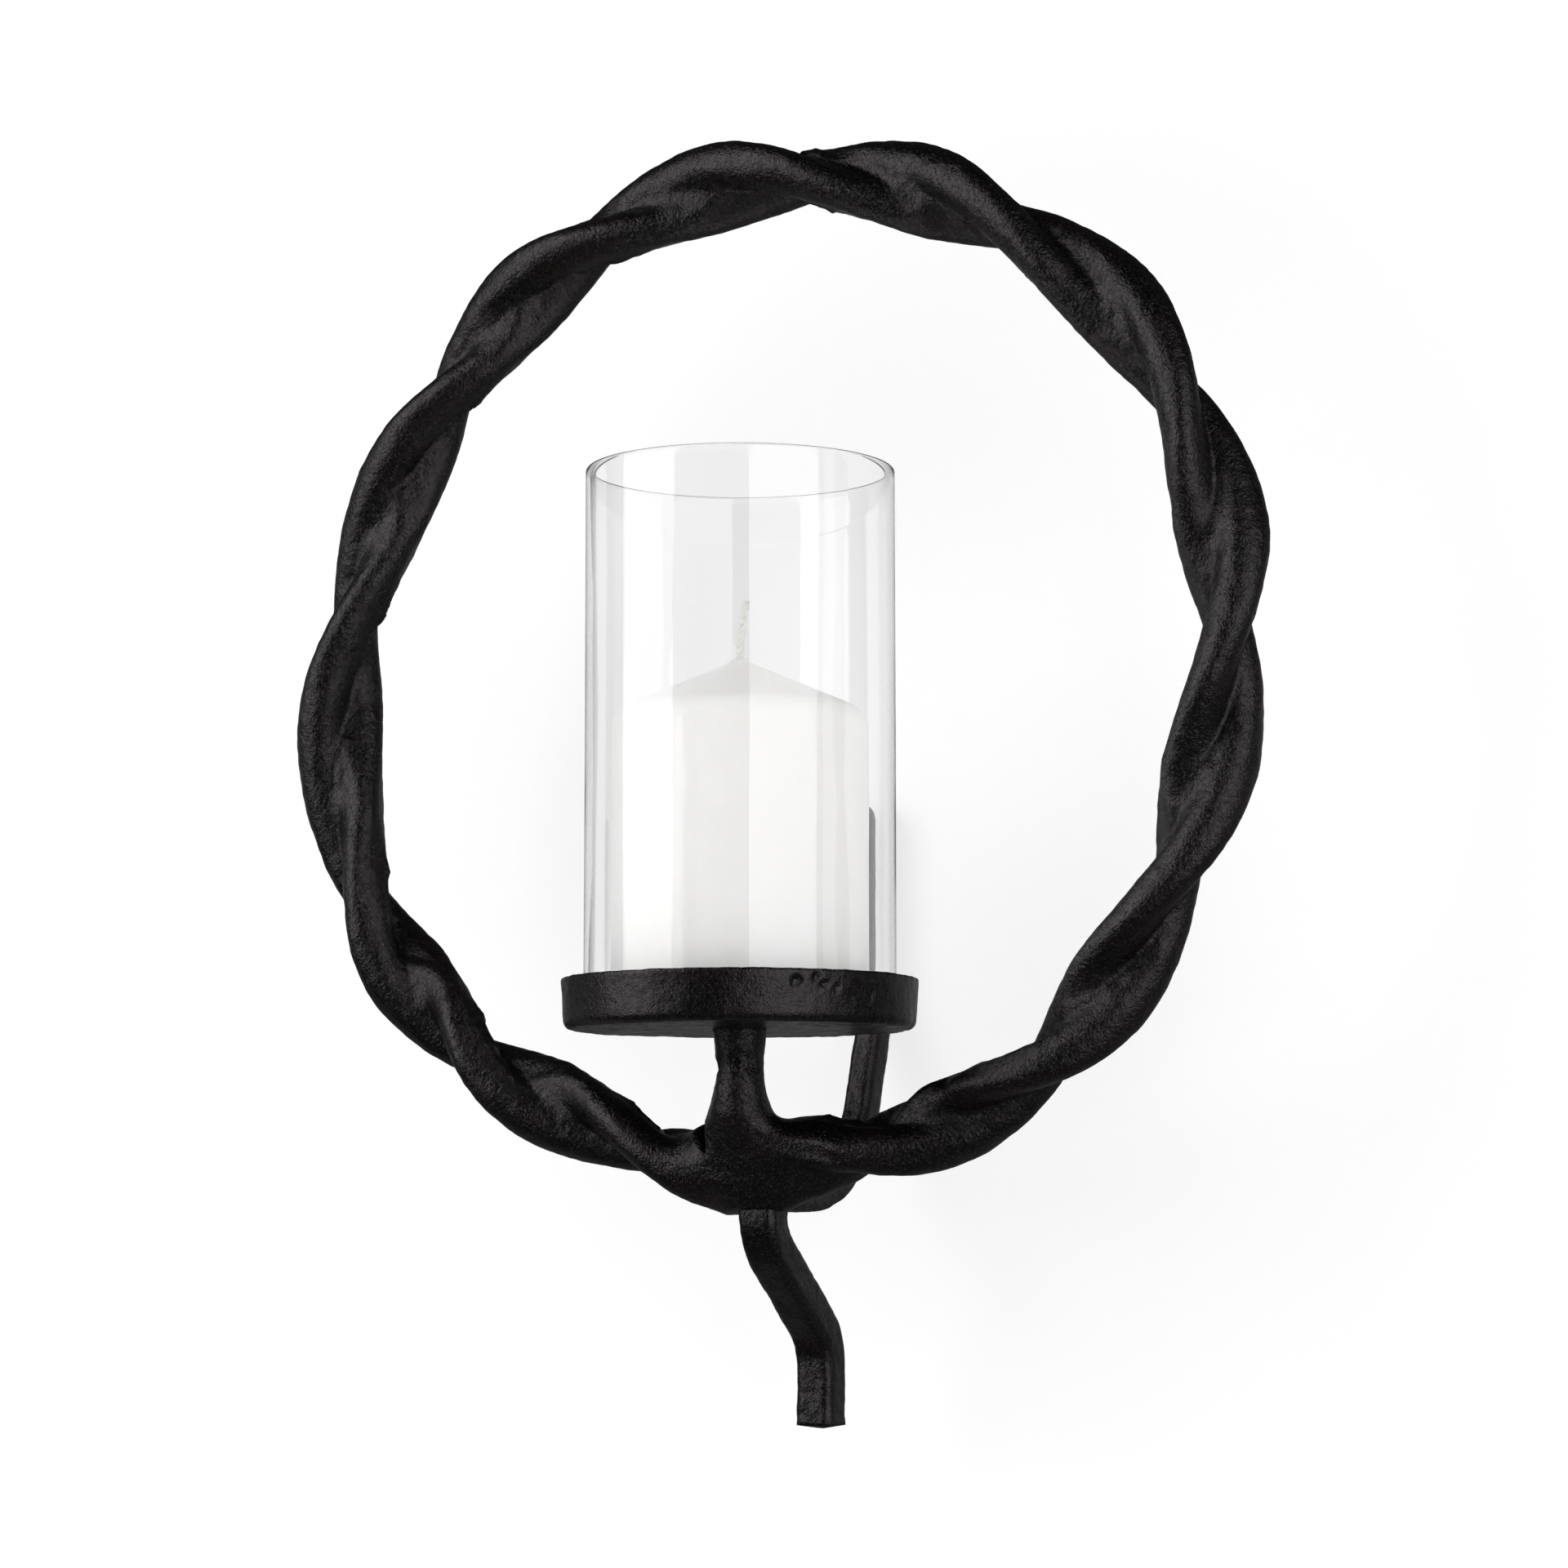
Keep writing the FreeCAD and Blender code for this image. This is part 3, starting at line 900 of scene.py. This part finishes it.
def cut_away(piece, cutter):
    cut = piece.modifiers.new("cut", "BOOLEAN")
    cut.operation = "DIFFERENCE"
    cut.solver = "EXACT"
    cut.object = cutter
    apply_modifiers(piece)
    bpy.data.objects.remove(cutter)


def arm_route():
    """Back from the knot, up, and flat on the wall to the arm's top."""
    steps = [
        ("run", ARM_FLAT_RUN),
        ("bend", ARM_LOW_BEND, ARM_LOW_TURN_DEG),
        ("run", ARM_SLOPE_RUN),
        ("bend", ARM_HIGH_BEND, 90.0 - ARM_LOW_TURN_DEG),
    ]
    end = bar_route(ARM_START_Y, ARM_START_Z, 0.0, steps)[-1]
    extra = (-ARM_WIDTH / 2 - end[0]) / math.cos(math.radians(ARM_LOW_TURN_DEG))
    steps[2] = ("run", ARM_SLOPE_RUN + extra)
    end = bar_route(ARM_START_Y, ARM_START_Z, 0.0, steps)[-1]
    steps.append(("run", arm_high[2] - end[1]))
    return bar_route(ARM_START_Y, ARM_START_Z, 0.0, steps)


def wall_arm():
    """Square bar with a fine seam along it and two countersunk screw holes."""
    points, faces, around = bar_mesh(ARM_WIDTH, arm_route(), 60, 0.0045, 0.0050)
    points[:, 0] = points[:, 0] * ARM_SLIMMING - ARM_OFFSET
    piece = make_object("cast_arm", points, faces, cast_black_finish("cast_black_arm", 0.6))
    facing_out(piece)
    normals = mesh_normals(piece)
    flat_back = ramp(-points[:, 1], 0.0002, 0.0012)
    height = 0.00010 * noise(points, 0.0026, 13) + 0.00025 * layered(points, 0.0120, 17)
    seam = bump_at(around - 0.86, 0.012) - 0.7 * bump_at(around - 0.82, 0.012)
    height = (height + ARM_SEAM * seam) * flat_back
    set_points(piece, points + normals * height[:, None])
    for side in (-1, 1):
        cut_away(piece, screw_cutter(side * SCREW_SPACING / 2))
    settle_in(piece, "holder", "cast_black", "wall_arm")


TAIL_WIDTH = tail_high[0] * 2
TAIL_START_Z = -0.0960
TAIL_TURN_DEG = 52.0
TAIL_STEPS = (
    ("run", 0.0080),
    ("bend", 0.0160, TAIL_TURN_DEG),
    ("run", 0.0320),
    ("bend", 0.0180, -TAIL_TURN_DEG),
)


def lower_tail():
    """Square bar that hangs below the knot, bent back and down again."""
    end = bar_route(-RING_STANDOFF, TAIL_START_Z, -90.0, TAIL_STEPS)[-1]
    steps = (*TAIL_STEPS, ("run", end[1] - tail_low[2]))
    route = bar_route(-RING_STANDOFF, TAIL_START_Z, -90.0, steps)
    points, faces, _ = bar_mesh(TAIL_WIDTH, route, 64, 0.001, 0.0004)
    piece = make_object("cast_tail", points, faces, cast_black_finish("cast_black_tail", 0.7))
    facing_out(piece)
    normals = mesh_normals(piece)
    height = 0.00012 * noise(points, 0.0026, 43) + 0.00030 * layered(points, 0.0110, 47)
    set_points(piece, points + normals * height[:, None])
    store(piece, "hollow", np.zeros(len(points)))
    settle_in(piece, "holder", "cast_black", "lower_tail")


# ---------------------------------------------------------------- glass chimney
def glass_finish():
    """Clear glass that lets lamps shine through it."""
    finish = Finish("clear_glass", Roughness=0.0, IOR=1.50, Transmission_Weight=1.0)
    finish.shader.inputs["Base Color"].default_value = (0.971, 0.970, 0.974, 1)
    ripple = finish.noise(28, 1.0, 0.4)
    finish.normal(finish.bump(ripple, 0.0006, 0.25))
    finish.clear_where(finish.node("ShaderNodeLightPath").outputs["Is Shadow Ray"])
    return finish.material


GLASS_WALL = 0.0014
GLASS_ROW = 0.0040
GLASS_COLUMNS = 256


def glass_chimney():
    """Open tube that stands on the pan's floor, very slightly wavy."""
    outer, inner = GLASS_RADIUS, GLASS_RADIUS - GLASS_WALL
    foot, top, rim, heel = PAN_FLOOR_Z, GLASS_TOP_Z, 0.00075, 0.0005
    outline = rounded_line(
        [
            (inner, 0, 0), (inner, foot, heel), (outer, foot, heel),
            (outer, top, rim), (inner, top, rim), (inner, 0, 0),
        ],
        GLASS_ROW,
    )
    points, faces = turned(outline, GLASS_COLUMNS)
    turn, height = np.arctan2(points[:, 1] - AXIS_Y, points[:, 0]), points[:, 2]
    wave = 0.00004 * np.sin(3 * turn + 20 * height) + 0.00003 * np.sin(5 * turn - 31 * height)
    out = np.stack([np.cos(turn), np.sin(turn), 0 * turn], axis=1)
    piece = make_object("glass_tube", points + out * wave[:, None], faces, glass_finish())
    facing_out(piece)
    settle_in(piece, "glass", "clear_glass", "glass_chimney")


# ---------------------------------------------------------------- candle
WICK_RADIUS = 0.0012
CANDLE_SHOULDER_Z = PAN_FLOOR_Z + 0.0872
CANDLE_POINT_Z = CANDLE_SHOULDER_Z + 0.0167
CANDLE_GRID = 0.0014
CANDLE_COLUMNS = 200

# wick: each of its three strands' radius and distance from the middle, height of one plait, and
# the lean above the wax
STRAND_RADIUS = 0.00070
STRAND_OFFSET = 0.00058
STRAND_ENDS = 0.0008
PLAIT_HEIGHT = 0.0062
WICK_LENGTH = 0.0170
WICK_STRAIGHT = 0.0030
WICK_BEND = 0.0250
WICK_LEAN_DEG = 10.0


def wax_finish():
    """Wax that light soaks into, a little cloudy, with a faint painted glow that lightens it though
    it is no lamp.
    """
    finish = Finish(
        "white_wax",
        # painted light: a faint glow that brightens the unlit wax
        Emission_Strength=0.09,
        IOR=1.44,
        Subsurface_Weight=0.35,
        Subsurface_Scale=0.01,
    )
    finish.shader.inputs["Subsurface Radius"].default_value = (1.0, 0.85, 0.7)
    cloud = finish.between(finish.noise(55, 3.0), 0.3, 0.75)
    finish.colour(finish.mix(cloud, (0.95, 0.945, 0.926), (0.92, 0.912, 0.886)))
    finish.roughness(finish.between(finish.noise(160, 3.0), 0.3, 0.7, 0.38, 0.52))
    fine = finish.bump(finish.noise(900, 2.0), 0.00005)
    finish.normal(finish.bump(finish.noise(130, 2.0), 0.00025, 1.0, fine))
    return finish.material


def candle_wax():
    """Pillar with a pointed top, hollowed for the wick and its foot plate."""
    bore, neck, plate = WICK_RADIUS + 0.00006, 0.0023, 0.0091
    foot, point = PAN_FLOOR_Z, CANDLE_POINT_Z
    plate_z, neck_z = foot + 0.0006, foot + 0.0061
    outline = rounded_line(
        [
            (bore, neck_z, 0), (neck, neck_z, 0), (neck, plate_z, 0),
            (plate, plate_z, 0), (plate, foot, 0), (CANDLE_RADIUS, foot, 0.0010),
            (CANDLE_RADIUS, CANDLE_SHOULDER_Z, 0.0070), (0.0042, point - 0.0022, 0.008),
            (0.0026, point - 0.0008, 0.0008), (bore, point - 0.0010, 0),
            (bore, neck_z, 0),
        ],
        CANDLE_GRID,
    )
    points, faces = turned(outline, CANDLE_COLUMNS)
    piece = make_object("pillar_candle", points, faces, wax_finish())
    facing_out(piece)
    normals = mesh_normals(piece)
    radius = np.hypot(points[:, 0], points[:, 1] - AXIS_Y)
    outside = ramp(radius, 0.003, 0.006) * ramp(points[:, 2], foot + 0.0007, foot + 0.002)
    height = outside * (0.00010 * layered(points, 0.020, 61) - 0.00004)
    set_points(piece, points + normals * height[:, None])
    settle_in(piece, "candle", "wax", "candle_wax")


def wick_finish():
    """Pale cotton with fibres along it, and a faint painted glow that lightens it though it is no
    lamp.
    """
    # painted light: emission brightens the unlit wick
    finish = Finish("cotton_wick", Roughness=0.85, Sheen_Weight=0.3, Emission_Strength=0.12)
    fibre = finish.noise(1.0, 3.0, place=finish.stretched((2600, 2600, 500)))
    shade = finish.between(fibre, 0.3, 0.7)
    finish.colour(finish.mix(shade, (0.95, 0.94, 0.91), (0.80, 0.78, 0.73)))
    finish.normal(finish.bump(fibre, 0.00012))
    return finish.material


def wick_line(count):
    """Points up the wick and the direction at each: straight, then leaning over to the right."""
    turn = math.radians(WICK_LEAN_DEG)
    foot = PAN_FLOOR_Z + 0.0005
    straight, curve = CANDLE_POINT_Z + WICK_STRAIGHT - foot, WICK_BEND * turn
    total = straight + WICK_LENGTH - WICK_STRAIGHT
    places, ahead = [], []
    for along in np.linspace(0, total, count):
        lean = min(max(along - straight, 0) / WICK_BEND, turn)
        rest = max(along - straight - curve, 0)
        x = WICK_BEND * (1 - math.cos(lean)) + rest * math.sin(lean)
        z = foot + min(along, straight) + WICK_BEND * math.sin(lean) + rest * math.cos(lean)
        places.append((x, AXIS_Y, z))
        ahead.append((math.sin(lean), 0, math.cos(lean)))
    return np.array(places), np.array(ahead), np.linspace(0, total, count)


def candle_wick():
    """Three plaited strands."""
    columns = 12
    places, ahead, along = wick_line(300)
    side = np.stack([ahead[:, 2], 0 * along, -ahead[:, 0]], axis=1)
    depth = np.cross(ahead, side)
    past_end = ((along - along[-1] + STRAND_ENDS) / STRAND_ENDS).clip(0)
    taper = np.sqrt(np.clip(1 - past_end**2, 0.05, 1))
    points, faces = [], []
    for k in range(3):
        phase = 2 * math.pi * (along / PLAIT_HEIGHT + k / 3)
        wander = STRAND_OFFSET * (1 + 0.10 * np.sin(along * 2900 + k))
        across = wander * np.cos(phase)
        deep = wander * np.sin(phase) * (1 + 0.1 * np.cos(2 * phase))
        middle = places + side * across[:, None] + depth * deep[:, None]
        for i in range(len(along)):
            for j in range(columns):
                turn = 2 * math.pi * j / columns
                fray = 1 + 0.06 * math.sin(5 * turn + along[i] * 4000)
                radius = STRAND_RADIUS * fray * taper[i]
                out = math.cos(turn) * side[i] + math.sin(turn) * depth[i]
                points.append(middle[i] + radius * out)
        first = k * len(along) * columns
        faces += [tuple(first + v for v in face) for face in tube_faces(len(along), columns)]
        faces.append(tuple(first + j for j in range(columns)))
        faces.append(tuple(first + (len(along) - 1) * columns + j for j in range(columns))[::-1])
    piece = make_object("plaited_wick", np.array(points), faces, wick_finish())
    facing_out(piece)
    settle_in(piece, "candle", "wick", "candle_wick")


def tin_finish():
    finish = Finish("tinned_steel", Metallic=1.0)
    brushed = finish.noise(1.0, 3.0, place=finish.stretched((900, 9000, 900)))
    finish.colour(finish.mix(brushed, (0.62, 0.63, 0.64), (0.50, 0.51, 0.52)))
    finish.roughness(finish.between(brushed, 0.3, 0.7, 0.25, 0.42))
    finish.normal(finish.bump(brushed, 0.00002))
    return finish.material


def wick_sustainer():
    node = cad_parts["wick_sustainer"]
    node.data.materials.clear()
    node.data.materials.append(tin_finish())


# ---------------------------------------------------------------- stage and lights
WALL_HALF = 3.0
FLOOR_Z = -0.95
STAGE_GLOW = 0.70
STAGE_MATT = 0.50
STAGE_CLOUD = 0.985


def stage_finish(name, colour, straight_only=False):
    """Matt and pale in front, and clear from behind, so that a view from there shows the sconce.
    A straight-only one is clear to mirrored and scattered light too."""
    finish = Finish(name, Roughness=0.9, Specular_IOR_Level=0.1, Emission_Strength=STAGE_GLOW)
    finish.shader.inputs["Emission Color"].default_value = (*colour, 1)
    tone = finish.between(finish.noise(1.5), 0.3, 0.7)
    matt = tuple(STAGE_MATT * c for c in colour)
    finish.colour(finish.mix(tone, matt, tuple(STAGE_CLOUD * c for c in matt)))
    passing = finish.node("ShaderNodeNewGeometry").outputs["Backfacing"]
    if straight_only:
        path = finish.node("ShaderNodeLightPath").outputs
        passing = finish.maths("ADD", passing, path["Glossy Depth"])
        passing = finish.maths("ADD", passing, path["Diffuse Depth"])
    finish.clear_where(passing)
    return finish.material


def add_stage():
    """Wall and floor, and a pale backdrop round the other sides for views from elsewhere."""
    half, front, z = WALL_HALF, -2 * WALL_HALF, FLOOR_Z
    wall = [(-half, 0, z), (half, 0, z), (half, 0, half), (-half, 0, half)]
    floor = [(-half, front, z), (half, front, z), (half, 0, z), (-half, 0, z)]
    left = [(-half, front, z), (-half, 0, z), (-half, 0, half), (-half, front, half)]
    right = [(half, 0, z), (half, front, z), (half, front, half), (half, 0, half)]
    far = [(half, front, z), (-half, front, z), (-half, front, half), (half, front, half)]
    roof = [(-half, 0, half), (half, 0, half), (half, front, half), (-half, front, half)]
    squares = [tuple(range(4 * k, 4 * k + 4)) for k in range(4)]
    backdrop_paint = stage_finish("backdrop_paint", (0.88, 0.88, 0.88), straight_only=True)
    pieces = (
        make_object("wall", wall, squares[:1], stage_finish("wall_paint", (0.93, 0.93, 0.93))),
        make_object("floor", floor, squares[:1], stage_finish("floor_paint", (0.88, 0.88, 0.87))),
        make_object("backdrop", left + right + far + roof, squares, backdrop_paint),
    )
    for piece in pieces:
        piece.visible_glossy = False
    pieces[2].visible_diffuse = False
    pieces[2].visible_shadow = False


# the room's brightness towards the floor, overhead and behind the sconce
ROOM_LOW = 0.040
ROOM_HIGH = 0.005
ROOM_BEHIND = 0.22

# softboxes: name, azimuth, distance, height, size, power
SOFTBOXES = (
    ("key", -45, 1.45, 0.55, (1.30, 1.7), 15.5),
    ("fill", 60, 1.50, 0.25, (1.45, 1.7), 12.5),
    ("bounce", 20, 0.9, -0.9, (2.0, 1.2), 0.35),
)


def softbox(name, azimuth_deg, distance, height, size, power):
    """Area light at an azimuth from the sconce, 0 in front of it and 90 to its right."""
    data = bpy.data.lights.new(name, "AREA")
    data.shape = "RECTANGLE"
    data.size, data.size_y = size
    data.energy = power
    light = bpy.data.objects.new(name, data)
    turn = math.radians(azimuth_deg)
    light.location = (distance * math.sin(turn), AXIS_Y - distance * math.cos(turn), height)
    aim = Vector((0, AXIS_Y, 0)) - light.location
    light.rotation_euler = aim.to_track_quat("-Z", "Y").to_euler()
    bpy.context.scene.collection.objects.link(light)


def graded(tree, height, low, high, to_low, to_high):
    """Value that runs from one level to another as its input goes from low to high."""
    made = tree.nodes.new("ShaderNodeMapRange")
    made.inputs["From Min"].default_value = low
    made.inputs["From Max"].default_value = high
    made.inputs["To Min"].default_value = to_low
    made.inputs["To Max"].default_value = to_high
    tree.links.new(height, made.inputs["Value"])
    return made.outputs["Result"]


def combined(tree, operation, first, second):
    made = tree.nodes.new("ShaderNodeMath")
    made.operation = operation
    tree.links.new(first, made.inputs[0])
    tree.links.new(second, made.inputs[1])
    return made.outputs["Value"]


def dim_room():
    """The unlit studio round the softboxes: nearly black overhead, grey low down and behind."""
    world = bpy.data.worlds.new("studio")
    world.use_nodes = True
    tree = world.node_tree
    place = tree.nodes.new("ShaderNodeTexCoord")
    split = tree.nodes.new("ShaderNodeSeparateXYZ")
    tree.links.new(place.outputs["Generated"], split.inputs["Vector"])
    up = split.outputs["Z"]
    ground = graded(tree, up, -0.6, 0.4, ROOM_LOW, ROOM_HIGH)
    behind = graded(tree, split.outputs["Y"], -0.05, 0.12, 0.0, ROOM_BEHIND)
    from_below = graded(tree, up, -0.12, 0.0, 0.35, 1.0)
    to_above = graded(tree, up, 0.15, 0.40, 1.0, 0.10)
    level = combined(tree, "MULTIPLY", from_below, to_above)
    grey = combined(tree, "ADD", ground, combined(tree, "MULTIPLY", behind, level))
    tree.links.new(grey, tree.nodes["Background"].inputs["Color"])
    return world


def add_lights():
    for box in SOFTBOXES:
        softbox(*box)
    bpy.context.scene.world = dim_room()
    bpy.context.scene.view_settings.view_transform = "Standard"


# ---------------------------------------------------------------- build
add_camera()
add_stage()
add_lights()
twisted_ring_and_stem()
candle_pan()
wall_arm()
lower_tail()
glass_chimney()
candle_wax()
candle_wick()
wick_sustainer()
